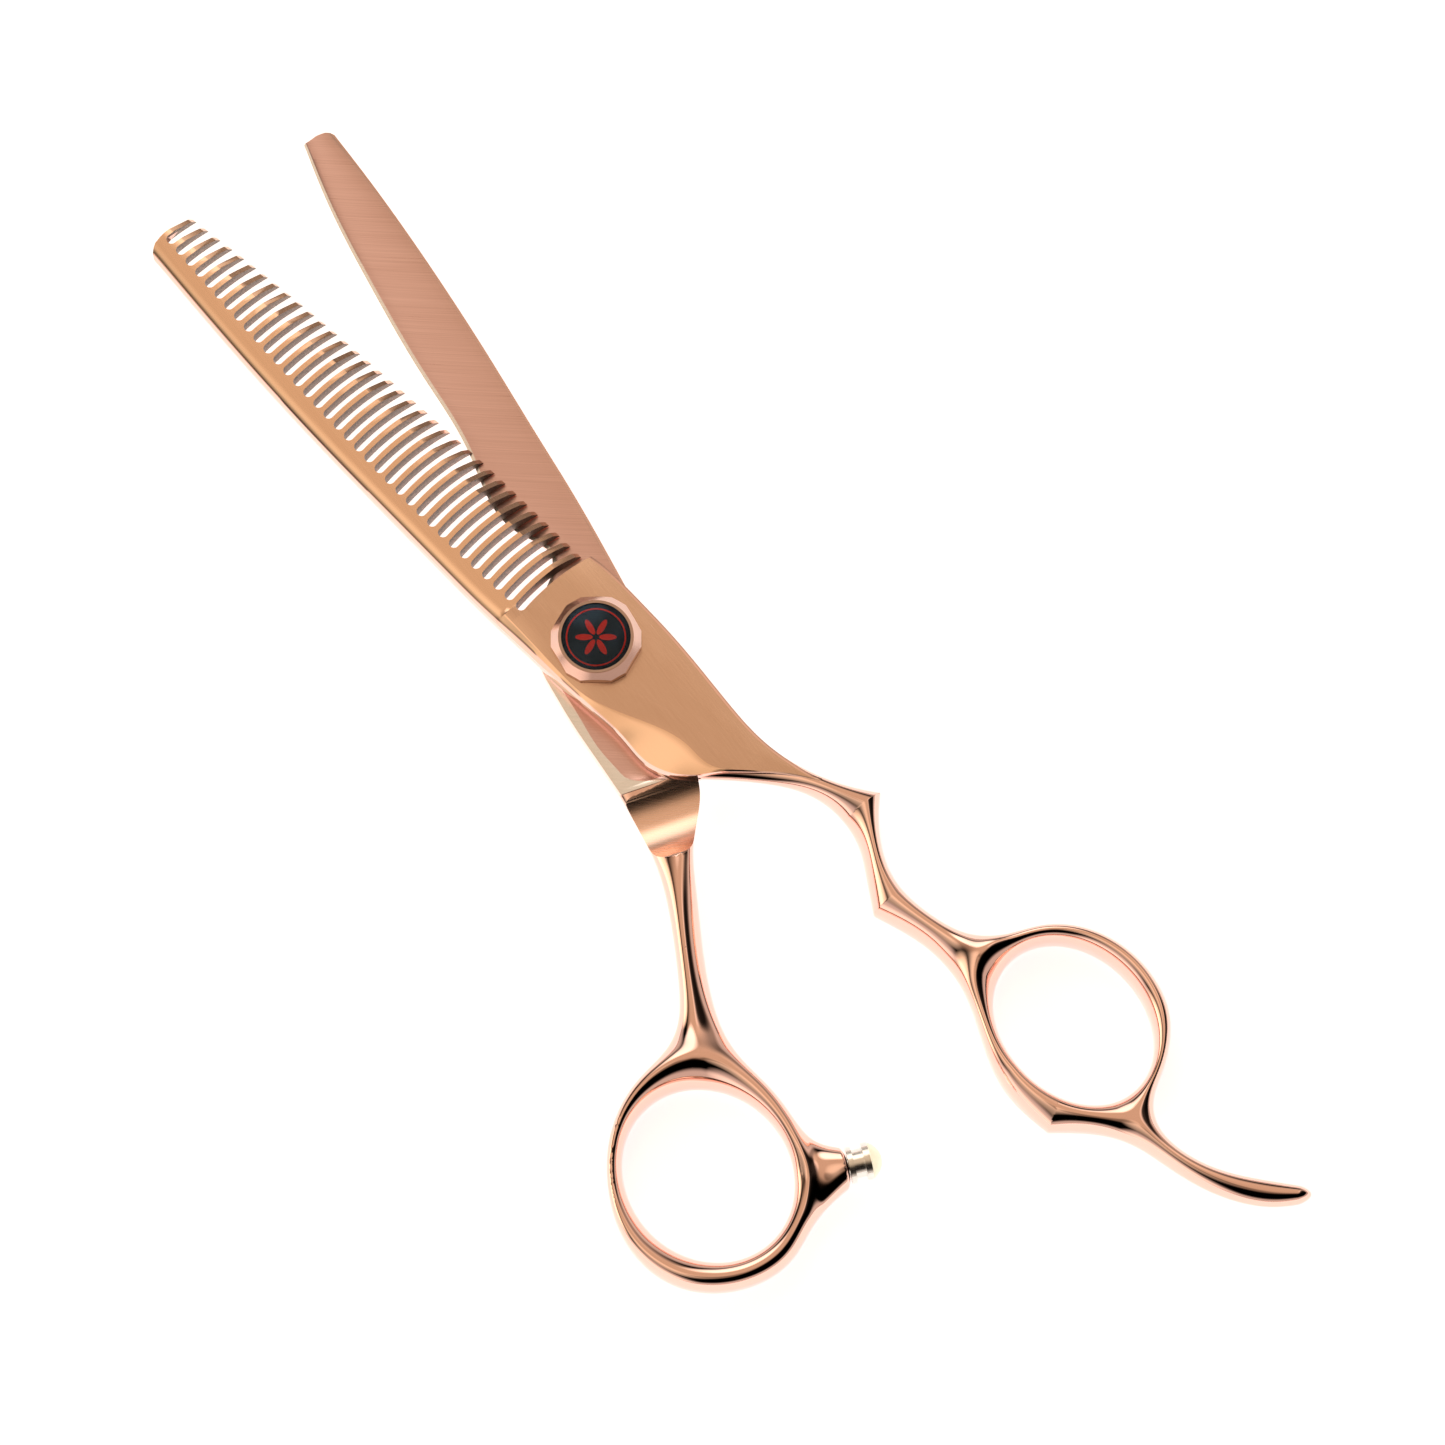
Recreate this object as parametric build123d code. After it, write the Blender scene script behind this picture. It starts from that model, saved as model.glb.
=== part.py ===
"""Hair thinning shears, 6 inch, with an offset crane handle and a fixed finger rest.

Two halves turn on one bolt. The still half carries the comb blade, its handle, the
finger ring and the finger rest. The thumb half carries the plain blade, its handle, the
thumb ring and the bumper. The dial on the bolt sets the blade tension.

Frame: the origin is on the pivot axis, in the plane that the shears rest on. +Y runs to
the blade tips, halfway between the open blades, and +Z rises to the dial. Millimetres.
"""
from build123d import *
import math
import os

# Levels along Z
HEAD_HEIGHT = 0.6        # bolt head, under the plain blade
RIDE = 3.4               # plane where the two blades pass
RIDE_GAP = 0.04          # each blade stays this far off that plane
COMB_TOP = 6.2           # front face of the comb plate
PLAIN_TOP = RIDE - RIDE_GAP
COMB_LOW = RIDE + RIDE_GAP

# Comb blade
SLOTS = 35
SLOT_PITCH = 1.77
SLOT_WIDTH = 1.17
FIRST_SLOT_Y = 68.8
TOOTH_RADIUS = 27.0      # bow of each tooth
SLOT_OVERRUN = 1.5       # how far a slot runs out past the line of tips
TIP_THICKNESS = 1.9      # comb blade at its tip
TAPER_START_Y = 12.0     # from here to the tips both blades get thinner

# Plain blade
PLAIN_TIP_LOW = 1.6      # outer side of the plain blade at its tip
SCOOP_RADIUS = 7.2       # hollow across the heel
SCOOP_DEPTH = 1.4

# Rings and handle bars
RING_HEIGHT = 5.3
FINGER_RING = (15.3, -67.6, 9.35, 11.0)     # centre x, y and half axes of the band's middle
THUMB_RING = (-27.5, -55.7, 10.5, 11.8)
FINGER_BAND = 2.7
THUMB_BAND = 2.9
BLADE_END_Y = -24.5      # the comb plate ends and the finger handle begins
HEEL_END_Y = -25.0       # the plain heel ends and the thumb handle begins

# Pivot
SHAFT_D = 5.0
HEAD_D = 9.0
HEAD_CHAMFER = 0.25
DRIVER_SLOT = (1.0, 0.3)  # width and depth of the slot in the bolt head
NECK = 5.4               # square neck, keeps the bolt from turning in the plain blade
NECK_TOP = 3.1
BUSHING_D = 6.4
SHAFT_CLEARANCE = 0.05
WASHER_D = 9.0
WASHER_THICK = 0.27
THREAD_D = 4.4

# Tension dial
DIAL_LOW = 6.35
DIAL_TOP = 8.2
DIAL_FLATS = 9.8
DIAL_CORNERS = 10.25
DIAL_TURN = -8.0         # direction of one flat, degrees
INSERT_D = 7.9
BEZEL_D = 8.5
INSERT_SEAT = 7.7
BEZEL_TOP = 8.3
DISC_THICK = 0.25
DOME_TOP = 8.9
STACK_D = 7.6            # washers under the dial
CLICK_LOW = 6.82         # underside of the click plate
CLICK_TOP = 7.02
CLICKS = 12
CLICK_RADIUS = 3.0       # pits and detent ball lie on this circle
BALL_RADIUS = 0.32

# Bumper, measured along its axis from the face of the boss
BOSS_FACE = Vector(-14.45, -64.45, RING_HEIGHT / 2)
BUMPER_AXIS = Vector(0.913, -0.409, 0).normalized()
STUD_D = 2.0
FLANGE_D = 4.2
FLANGE_END = 0.6
COLLAR_END = 2.5
PAD_END = 3.85
PAD_RADIUS = 2.3         # dome of the pad
ROD_START = -3.0         # the rod reaches this far into the boss


def prism(face, low, high):
    """Extrude a face drawn on the XY plane between two levels."""
    return extrude(Pos(0, 0, low) * face, amount=high - low)


def side_cut(points, half_width=60.0):
    """A prism across X from a (y, z) outline."""
    face = make_face(Plane.YZ * Polyline(*points, close=True))
    return extrude(face, amount=half_width, both=True)


def bar(stations):
    """A rounded bar lofted through (x, y, z, width, height) stations."""
    sections = []
    last = len(stations) - 1
    for i, (x, y, z, width, height) in enumerate(stations):
        before = stations[max(i - 1, 0)]
        after = stations[min(i + 1, last)]
        along = Vector(after[0] - before[0], after[1] - before[1], 0).normalized()
        across = Vector(along.Y, -along.X, 0)
        plane = Plane(origin=(x, y, z), x_dir=across, z_dir=along)
        sections.append(plane * Ellipse(width / 2, height / 2))
    return loft(sections)


def ring_band(ring, band):
    """A finger ring: an upright rounded band swept round an ellipse."""
    cx, cy, half_x, half_y = ring
    middle = RING_HEIGHT / 2
    path = Edge.make_ellipse(half_x, half_y, plane=Plane(origin=(cx, cy, middle)))
    start = Plane(origin=(cx + half_x, cy, middle), x_dir=(1, 0, 0), z_dir=(0, 1, 0))
    return sweep(start * Ellipse(band / 2, RING_HEIGHT / 2), path=path)


def join_ring(piece, ring, band):
    """Trim a piece that grows out of a ring so that the two meet face to face."""
    cx, cy, half_x, half_y = ring
    inside = prism(Pos(cx, cy) * Ellipse(half_x, half_y), -1, 9)
    return piece - inside - ring_band(ring, band)


def tooth_root_x(y):
    """Where the slots begin, along the comb's back."""
    return -3.37 - 0.165 * y + 0.00108 * y * y


def tooth_tip_x(y):
    """Line of the tooth tips on the ride side."""
    return 5.45 + 0.026 * y - 0.00473 * y * y + 0.0000313 * y**3


def slot_slope(y):
    """Slope of a slot where it leaves its root."""
    return 0.215 - 0.000048 * (y - 9) ** 2


def comb_outline():
    """Plan of the comb blade and its plate, before the slots are cut."""
    tips = [(tooth_tip_x(y), y) for y in (10, 20, 30, 40, 50, 60, 69.6)]
    back = Spline((-12.0, 68.4), (-11.6, 50), (-9.9, 25), (-8.0, 5), (-6.6, -2), (-4.7, -11.2),
                  (-4.4, -15))
    heel = Spline((-4.4, -15), (-3.5, -17.4), (-2, -19), (0, -20.6), (2.6, -22.4), (4.9, BLADE_END_Y))
    weld = Line((4.9, BLADE_END_Y), (8.6, BLADE_END_Y))
    right = Spline((8.6, BLADE_END_Y), (7.7, -21), (7.4, -15), (7.3, -5), (6.8, 1), (6.1, 6.2))
    corner = ThreePointArc((6.1, 6.2), (5.8, 7.9), (5.15, 8.7))
    step = Line((5.15, 8.7), tips[0])
    edge = Spline(*tips)
    tip = Spline(tips[-1], (-8.8, 69.95), (-11.0, 69.6), (-12.0, 68.4))
    return make_face(back + heel + weld + right + corner + step + edge + tip)


def comb_slot(number):
    """One slot between two teeth: a bowed channel, round at its root."""
    y = FIRST_SLOT_Y - number * SLOT_PITCH
    start = Vector(tooth_root_x(y) + SLOT_WIDTH / 2, y)
    length = tooth_tip_x(y) + SLOT_OVERRUN - start.X
    slope = slot_slope(y)
    rise = slope * length - length**2 / (2 * TOOTH_RADIUS)
    half = length / 2
    bow = slope * half - half**2 / (2 * TOOTH_RADIUS)
    centre = ThreePointArc(start, (start.X + half, y + bow), (start.X + length, y + rise))
    return prism(SlotArc(centre, SLOT_WIDTH), COMB_LOW - 1, COMB_TOP + 1)


def tooth_bevel():
    """Wedge that slopes the front of the teeth down to their tips."""
    ends = ((9.3, (1.3, 6.25), (4.3, 4.8)), (71.0, (-8.6, 5.3), (-6.2, 4.4)))
    sections = []
    for y, facet, front in ends:
        inner = tooth_tip_x(min(y, 69.6))
        points = (facet, front, (inner, COMB_LOW), (inner + 6, COMB_LOW), (inner + 6, 9), (facet[0], 9))
        wire = Polyline(*[(x, y, z) for x, z in points], close=True)
        sections.append(make_face(wire))
    return loft(sections, ruled=True)


def comb_blade():
    """Comb blade with 35 slots, its plate and the bushing hole."""
    blade = prism(comb_outline(), COMB_LOW, COMB_TOP)
    tip_top = COMB_LOW + TIP_THICKNESS
    blade -= side_cut([(TAPER_START_Y, COMB_TOP), (71, tip_top), (71, 9), (TAPER_START_Y, 9)])
    blade -= tooth_bevel()
    for number in range(SLOTS):
        blade -= comb_slot(number)
    return blade - Pos(0, 0, RIDE) * Cylinder(BUSHING_D / 2, 8)


def finger_shank():
    """Curved handle bar with its two finger rests, down to the finger ring."""
    right = Spline((8.6, BLADE_END_Y), (9.6, -26.7), (12.3, -30.8), (14.4, -33.0))
    knee = ThreePointArc((14.4, -33.0), (14.6, -33.6), (14.1, -34.5))
    lower_right = Spline((14.1, -34.5), (11.3, -37.9), (9.8, -42.3), (10.9, -49.3), (15.2, -54.8), (20, -57.5))
    inside = Polyline((20, -57.5), (13, -61), (8.0, -59.5))
    lower_left = Spline((8.0, -59.5), (8.5, -53.6), (7.7, -48.8), (5.7, -44.2))
    bend = ThreePointArc((5.7, -44.2), (5.6, -43.3), (6.0, -42.3))
    left = Spline((6.0, -42.3), (7.9, -39), (9.4, -36.2), (9.6, -31.9), (8.0, -28.5), (4.9, BLADE_END_Y))
    weld = Line((4.9, BLADE_END_Y), (8.6, BLADE_END_Y))
    shank = prism(make_face(right + knee + lower_right + inside + lower_left + bend + left + weld), 0, COMB_TOP)
    top = [(BLADE_END_Y, COMB_TOP), (-33, 5.6), (-60, 5.0), (-60, 9), (BLADE_END_Y, 9)]
    under = [(BLADE_END_Y, COMB_LOW), (-32, 0.5), (-60, 0.3), (-60, -3), (BLADE_END_Y, -3)]
    shank -= side_cut(top) + side_cut(under)
    return join_ring(shank, FINGER_RING, FINGER_BAND)


def finger_ring():
    """Ring for the ring finger."""
    return ring_band(FINGER_RING, FINGER_BAND)


def finger_rest():
    """Curved rest for the little finger, below the ring."""
    middle = RING_HEIGHT / 2
    rest = bar([
        (12.6, -77.9, middle, 4.4, 4.6), (13.7, -81.2, middle, 3.4, 4.4), (14.5, -85.3, middle, 2.7, 4.0),
        (16.2, -90.0, middle, 2.6, 3.6), (19.1, -94.3, middle, 2.7, 3.2), (22.3, -97.4, middle, 2.5, 2.8),
        (23.6, -98.5, middle, 1.0, 1.2)])
    return join_ring(rest, FINGER_RING, FINGER_BAND)


def pivot_bushing():
    """Low-friction sleeve pressed into the comb plate."""
    sleeve = Cylinder(BUSHING_D / 2, COMB_TOP - COMB_LOW, align=(Align.CENTER, Align.CENTER, Align.MIN))
    sleeve -= Cylinder(SHAFT_D / 2 + SHAFT_CLEARANCE, 20)
    return Pos(0, 0, COMB_LOW) * sleeve


def plain_outline():
    """Plan of the plain blade, its plate and its heel."""
    edge = Spline((10.3, 69.2), (8.1, 61.4), (6.0, 50.8), (4.1, 38), (2.6, 27.2), (1.4, 16), (0.4, 9.5))
    shoulder = Spline((0.4, 9.5), (-2.6, 7.9), (-5.6, 4.4), (-6.9, 0), (-7.6, -5), (-8.4, -15.2), (-9.3, -20),
                      (-10.4, HEEL_END_Y))
    weld = Line((-10.4, HEEL_END_Y), (-5.8, HEEL_END_Y))
    heel = Spline((-5.8, HEEL_END_Y), (-3, -22.3), (-0.5, -20), (3.2, -15), (5.9, -8), (6.3, -2), (7.3, 5))
    spine = Spline((7.3, 5), (9.1, 15.9), (11.5, 34.6), (13.0, 49), (13.9, 63.5), (13.95, 67.9))
    tip = ThreePointArc((13.95, 67.9), (12.6, 69.3), (10.3, 69.2))
    return make_face(edge + shoulder + weld + heel + spine + tip)


def plain_bevel():
    """Wedge that thins the outer side of the plain blade towards its edge."""
    ends = ((12.0, (0.8, 2.9), (6.3, HEAD_HEIGHT)), (71.0, (10.9, 3.1), (13.0, 1.6)))
    sections = []
    for y, edge, belly in ends:
        points = ((edge[0] - 6, 3.3), (edge[0] - 1, 3.3), edge, belly, (belly[0], -1), (edge[0] - 6, -1))
        wire = Polyline(*[(x, y, z) for x, z in points], close=True)
        sections.append(make_face(wire))
    return loft(sections, ruled=True)


def plain_blade():
    """Plain blade with its heel, the scoop behind the ride face and the square hole."""
    blade = prism(plain_outline(), HEAD_HEIGHT, PLAIN_TOP)
    blade -= side_cut([(TAPER_START_Y, HEAD_HEIGHT), (71, PLAIN_TIP_LOW), (71, -1), (TAPER_START_Y, -1)])
    blade -= plain_bevel()
    scoop = Rot(0, 90, 0) * Cylinder(SCOOP_RADIUS, 40)
    blade -= Pos(-6, -20.6, PLAIN_TOP + SCOOP_RADIUS - SCOOP_DEPTH) * Rot(0, 0, -20) * scoop
    blade -= Pos(0, 0, PLAIN_TOP) * Cylinder(WASHER_D / 2 + 0.1, 2 * (PLAIN_TOP - NECK_TOP))
    return blade - Box(NECK, NECK, 20)


def thumb_shank():
    """Rounded handle bar between the plain heel and the thumb ring."""
    middle = RING_HEIGHT / 2
    shank = bar([
        (-8.1, HEEL_END_Y, 1.98, 4.6, 2.7), (-9.6, -27.7, 2.3, 4.5, 3.8), (-11.6, -31.2, 2.6, 4.4, 4.8),
        (-14.0, -35.2, middle, 4.5, 5.0), (-16.2, -38.9, middle, 4.7, 5.1), (-18.6, -43.0, middle, 5.0, 5.1),
        (-20.0, -46.0, middle, 5.0, 5.1)])
    left = Spline((-18.0, -38.4), (-20.1, -40.8), (-22.6, -41.9), (-26.5, -42.5))
    inside = Polyline((-26.5, -42.5), (-24.0, -46.0), (-19.0, -50.0), (-15.9, -51.0))
    right = Spline((-15.9, -51.0), (-16.3, -46.3), (-15.4, -42.2), (-14.0, -38.9))
    close = Line((-14.0, -38.9), (-18.0, -38.4))
    shank += prism(make_face(left + inside + right + close), 0.4, 4.9)
    shank -= Pos(0, HEEL_END_Y + 10, 0) * Box(60, 20, 20)
    return join_ring(shank, THUMB_RING, THUMB_BAND)


def across_bumper(distance):
    """A plane across the bumper's axis, at a distance from the face of the boss."""
    return Plane(origin=BOSS_FACE + BUMPER_AXIS * distance, z_dir=BUMPER_AXIS)


def bumper_disc(diameter, start, end):
    """A round piece on the bumper's axis."""
    return extrude(across_bumper(start) * Circle(diameter / 2), amount=end - start)


def thumb_ring():
    """Ring for the thumb, with the boss that holds the bumper."""
    boss = loft([across_bumper(-4.9) * Circle(2.6), across_bumper(0) * Circle(2.0)], ruled=True)
    ring = ring_band(THUMB_RING, THUMB_BAND) + join_ring(boss, THUMB_RING, THUMB_BAND)
    return ring - bumper_disc(STUD_D, ROD_START, 1.0)


def bumper_stud():
    """Screwed foot of the bumper: threaded rod, flange and core."""
    return bumper_disc(STUD_D, ROD_START, COLLAR_END - 0.4) + bumper_disc(FLANGE_D, 0, FLANGE_END)


def bumper_collar():
    """Ringed metal sleeve on the stud."""
    sleeve = bumper_disc(3.3, FLANGE_END, 1.8) + bumper_disc(4.3, 1.8, COLLAR_END)
    return sleeve - bumper_disc(STUD_D, ROD_START, COLLAR_END - 0.4)


def bumper_pad():
    """Soft domed cap that meets the other handle."""
    centre = BOSS_FACE + BUMPER_AXIS * (PAD_END - PAD_RADIUS)
    return bumper_disc(4.1, COLLAR_END, PAD_END) & Pos(centre.X, centre.Y, centre.Z) * Sphere(PAD_RADIUS)


def pivot_bolt():
    """Slotted bolt: flat head at the back, square neck, shaft and threaded end."""
    up = (Align.CENTER, Align.CENTER, Align.MIN)
    slot_width, slot_depth = DRIVER_SLOT
    head = Cylinder(HEAD_D / 2, HEAD_HEIGHT, align=up)
    head = chamfer(head.edges().group_by(Axis.Z)[0], HEAD_CHAMFER) - Box(20, slot_width, 2 * slot_depth)
    neck = Pos(0, 0, HEAD_HEIGHT) * Box(NECK, NECK, NECK_TOP - HEAD_HEIGHT, align=up)
    shaft = Pos(0, 0, NECK_TOP) * Cylinder(SHAFT_D / 2, COMB_TOP - NECK_TOP, align=up)
    thread = Pos(0, 0, COMB_TOP) * Cylinder(THREAD_D / 2, INSERT_SEAT - 0.3 - COMB_TOP, align=up)
    return head + neck + shaft + thread


def flat_ring(outer, inner, low, high):
    """A flat washer."""
    return prism(Circle(outer / 2) - Circle(inner / 2), low, high)


def glide_washer():
    """Thin low-friction washer between the blades, in a recess of the plain blade."""
    return flat_ring(WASHER_D, SHAFT_D + 0.3, NECK_TOP, NECK_TOP + WASHER_THICK)


def pressure_washer():
    """Flat washer on the comb plate, under the dial."""
    return flat_ring(STACK_D, THREAD_D + 0.4, COMB_TOP + 0.03, COMB_TOP + 0.2)


def spring_washer():
    """Curved spring washer that keeps the blade tension even."""
    radius = 30.0
    low = COMB_TOP + 0.2
    sheet = Cylinder(radius, 20) - Cylinder(radius - 0.15, 20)
    sheet = Pos(0, 0, low + 0.4 - radius) * Rot(90, 0, 0) * sheet
    return flat_ring(STACK_D - 0.2, THREAD_D + 0.6, low, low + 0.42) & sheet


def click_plate():
    """Keyed plate with shallow pits for the detent ball; it slides on the bolt without turning."""
    plate = flat_ring(STACK_D, THREAD_D + 0.2, CLICK_LOW, CLICK_TOP)
    for click in range(CLICKS):
        spot = Rot(0, 0, 360 / CLICKS * click) * Pos(CLICK_RADIUS, 0, CLICK_TOP)
        plate -= spot * Cylinder(0.3, 0.16)
    return plate


def detent_ball():
    """Ball in the dial that clicks over the pits."""
    return Pos(CLICK_RADIUS, 0, CLICK_TOP + BALL_RADIUS + 0.02) * Sphere(BALL_RADIUS)


def dial_nut():
    """Twelve-sided dial: a hexagon with its corners cut, hollow underneath."""
    height = DIAL_TOP - DIAL_LOW
    hexagon = RegularPolygon(DIAL_FLATS / 2, 6, major_radius=False, rotation=30 + DIAL_TURN)
    corners = RegularPolygon(DIAL_CORNERS / 2, 6, major_radius=False, rotation=DIAL_TURN)
    body = prism(hexagon & corners, DIAL_LOW, DIAL_TOP)
    body &= Pos(0, 0, DIAL_LOW) * Cone(6.0, 4.3, height, align=(Align.CENTER, Align.CENTER, Align.MIN))
    body -= prism(Circle(STACK_D / 2 + 0.15), DIAL_LOW - 1, CLICK_TOP + 0.05)
    body -= prism(Circle(THREAD_D / 2 + SHAFT_CLEARANCE), 0, DIAL_TOP + 1)
    body -= prism(Circle(BEZEL_D / 2), INSERT_SEAT, DIAL_TOP + 1)
    return body - Pos(CLICK_RADIUS, 0, 7.39) * Cylinder(BALL_RADIUS + 0.04, 0.74)


def dial_bezel():
    """Bright rim round the insert."""
    return flat_ring(BEZEL_D, INSERT_D, INSERT_SEAT, BEZEL_TOP)


def dial_disc():
    """Enamelled insert."""
    return prism(Circle(INSERT_D / 2), INSERT_SEAT, INSERT_SEAT + DISC_THICK)


def dial_lens():
    """Clear domed cover over the insert."""
    low = INSERT_SEAT + DISC_THICK
    rise = DOME_TOP - BEZEL_TOP
    half = INSERT_D / 2
    radius = (half**2 + rise**2) / (2 * rise)
    body = prism(Circle(half), low, DOME_TOP)
    return body & Pos(0, 0, DOME_TOP - radius) * Sphere(radius)


SUBPARTS = (
    comb_blade, finger_shank, finger_ring, finger_rest, pivot_bushing,
    plain_blade, thumb_shank, thumb_ring, pivot_bolt, glide_washer,
    bumper_stud, bumper_collar, bumper_pad,
    pressure_washer, spring_washer, click_plate, detent_ball,
    dial_nut, dial_bezel, dial_disc, dial_lens,
)

os.makedirs("parts", exist_ok=True)
for subpart in SUBPARTS:
    solid = subpart()
    export_step(solid, f"parts/{subpart.__name__}.step")
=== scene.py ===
"""Looks of the hair thinning shears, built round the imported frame.

Lengths are millimetres until a mesh is made. The frame is the CAD's: the origin is on the
pivot axis where the shears rest, +Y runs to the blade tips and +Z to the dial.
"""
import math

import bmesh
import bpy
import numpy as np
from mathutils import Matrix, Vector


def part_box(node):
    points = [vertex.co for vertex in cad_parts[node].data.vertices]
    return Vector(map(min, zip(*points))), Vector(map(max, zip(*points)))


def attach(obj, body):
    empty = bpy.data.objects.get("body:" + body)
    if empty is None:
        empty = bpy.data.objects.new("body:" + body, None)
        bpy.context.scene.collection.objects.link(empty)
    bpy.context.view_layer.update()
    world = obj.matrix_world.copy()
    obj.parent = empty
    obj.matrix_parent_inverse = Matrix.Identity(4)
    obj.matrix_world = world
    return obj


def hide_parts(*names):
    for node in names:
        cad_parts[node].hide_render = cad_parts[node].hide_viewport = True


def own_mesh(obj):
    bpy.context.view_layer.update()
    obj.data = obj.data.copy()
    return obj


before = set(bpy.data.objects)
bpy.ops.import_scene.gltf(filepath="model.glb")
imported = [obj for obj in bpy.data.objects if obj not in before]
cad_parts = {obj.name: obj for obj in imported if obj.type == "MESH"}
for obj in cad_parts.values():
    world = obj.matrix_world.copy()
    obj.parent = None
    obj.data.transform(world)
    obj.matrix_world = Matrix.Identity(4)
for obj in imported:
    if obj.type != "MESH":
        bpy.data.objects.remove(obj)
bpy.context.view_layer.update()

MM = 0.001


def level(node, side):
    """Lowest (0) or highest (1) level of a CAD node, in millimetres."""
    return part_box(node)[side].z / MM


COMB_LOW = level("comb_blade", 0)
COMB_TOP = level("comb_blade", 1)
PLAIN_LOW = level("plain_blade", 0)
PLAIN_TOP = level("plain_blade", 1)
RING_TOP = level("finger_ring", 1)
RING_MIDDLE = RING_TOP / 2

# Comb slots: the same layout as the CAD blade
SLOTS = 35
SLOT_PITCH = 1.77
SLOT_WIDTH = 1.17
FIRST_SLOT_Y = 68.8
SLOT_OVERRUN = 1.6       # how far a slot runs out past the line of tips
TOOTH_RADIUS = 27.0      # bow of each tooth

# How finely the handles are worked out
RIM_STEP = 0.05          # between the points of a rim
RIM_STRIDE = 20          # every so many points serve for a first rough search
GRID = 0.22

# ---------------------------------------------------------------- curves


def cubic(x, y, at):
    """Natural cubic spline through (x, y), read at the places in at."""
    x, y, at = np.asarray(x, float), np.asarray(y, float), np.asarray(at, float)
    count, gap = len(x), np.diff(x)
    system, right = np.eye(count), np.zeros_like(y)
    for i in range(1, count - 1):
        system[i, i - 1:i + 2] = gap[i - 1], 2 * (gap[i - 1] + gap[i]), gap[i]
        right[i] = 6 * ((y[i + 1] - y[i]) / gap[i] - (y[i] - y[i - 1]) / gap[i - 1])
    bend = np.linalg.solve(system, right)
    k = np.clip(np.searchsorted(x, at) - 1, 0, count - 2)
    shape = (-1,) + (1,) * (y.ndim - 1)
    a = ((x[k + 1] - at) / gap[k]).reshape(shape)
    b = 1 - a
    h = (gap[k] ** 2 / 6).reshape(shape)
    return a * y[k] + b * y[k + 1] + ((a**3 - a) * bend[k] + (b**3 - b) * bend[k + 1]) * h


def soften(rows, step, blur):
    """Blur a run of evenly spaced rows, keeping both ends in place."""
    reach = min(int(3 * blur / step), len(rows) - 1)
    kernel = np.exp(-0.5 * (np.arange(-reach, reach + 1) * step / blur) ** 2)
    kernel /= kernel.sum()
    head = 2 * rows[0] - rows[reach:0:-1]
    tail = 2 * rows[-1] - rows[-2:-reach - 2:-1]
    padded = np.vstack([head, rows, tail])
    return np.column_stack([np.convolve(padded[:, k], kernel, "valid") for k in range(rows.shape[1])])


def smooth_line(points, blur=1.2):
    """A smooth line near the points, evenly sampled."""
    points = np.array(points, float)
    chord = np.r_[0, np.cumsum(np.hypot(*np.diff(points, axis=0).T))]
    count = max(int(chord[-1] / RIM_STEP), 4)
    rows = cubic(chord, points, np.linspace(0, chord[-1], count + 1))
    return soften(rows, RIM_STEP, blur)


def track(points, blur=1.5):
    """A smooth function of y near (y, value) pairs, constant past both ends."""
    points = sorted(points)
    ys = [p[0] for p in points]
    table = np.linspace(ys[0], ys[-1], 4 * int(ys[-1] - ys[0]) + 9)
    values = cubic(ys, np.array([p[1] for p in points], float), table)
    values = soften(values[:, None], table[1] - table[0], blur)[:, 0]
    return lambda y: np.interp(y, table, values)


def ease_line(value, low, high):
    """0 below low, 1 above high, straight between."""
    return float(np.clip((value - low) / (high - low), 0, 1))


def ease(value, low, high):
    """0 below low, 1 above high, smooth between."""
    t = np.clip((value - low) / (high - low), 0, 1)
    return t * t * (3 - 2 * t)


# ---------------------------------------------------------------- meshes


def add_object(name, mesh, materials):
    """Link a mesh as an object with its materials."""
    piece = bpy.data.objects.new(name, mesh)
    bpy.context.scene.collection.objects.link(piece)
    for material in materials:
        mesh.materials.append(material)
    return piece


def build_mesh(name, points, faces, smooth=True):
    """A mesh from points in millimetres."""
    mesh = bpy.data.meshes.new(name)
    mesh.from_pydata([tuple(p) for p in np.asarray(points) * MM], [], [tuple(f) for f in faces])
    mesh.update()
    if smooth:
        mesh.shade_smooth()
    return mesh


def band(low, high, count):
    """Quads between two closed rings whose points are numbered from low and from high."""
    turn = [(k, (k + 1) % count) for k in range(count)]
    return [(low + k, low + n, high + n, high + k) for k, n in turn]


def loft_rings(name, rings, pick_material=None):
    """A closed solid through rings of equal point counts; a face may take its slot by row and strip."""
    rings = np.asarray(rings, float)
    rows, count = rings.shape[:2]
    faces, slots = [], []
    for i in range(rows - 1):
        faces += band(i * count, (i + 1) * count, count)
        slots += [pick_material(i, j) if pick_material else 0 for j in range(count)]
    faces.append(tuple(range(count))[::-1])
    faces.append(tuple((rows - 1) * count + j for j in range(count)))
    slots += [slots[0], slots[-1]]
    mesh = build_mesh(name, rings.reshape(-1, 3), faces)
    for face, slot in zip(mesh.polygons, slots):
        face.material_index = slot
    fix_normals(mesh)
    return mesh


def circle(radius, z, count=96):
    """A level ring of points round the pivot axis."""
    turns = np.arange(count) * 2 * math.pi / count
    return [(radius * math.cos(a), radius * math.sin(a), z) for a in turns]


def sharpen(mesh, degrees):
    """Mark edges sharper than an angle as creases in the shading."""
    mesh.set_sharp_from_angle(angle=math.radians(degrees))


def fix_normals(mesh):
    """Point all faces outwards."""
    work = bmesh.new()
    work.from_mesh(mesh)
    bmesh.ops.recalc_face_normals(work, faces=work.faces)
    work.to_mesh(mesh)
    work.free()


def keep_above_floor(mesh):
    """Lift points that dip under the rest plane onto it."""
    for point in mesh.vertices:
        point.co.z = max(point.co.z, 0.0)


def apply_modifiers(piece):
    """Bake a piece's modifiers into its mesh."""
    graph = bpy.context.evaluated_depsgraph_get()
    baked = bpy.data.meshes.new_from_object(piece.evaluated_get(graph), depsgraph=graph)
    piece.modifiers.clear()
    piece.data = baked


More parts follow.
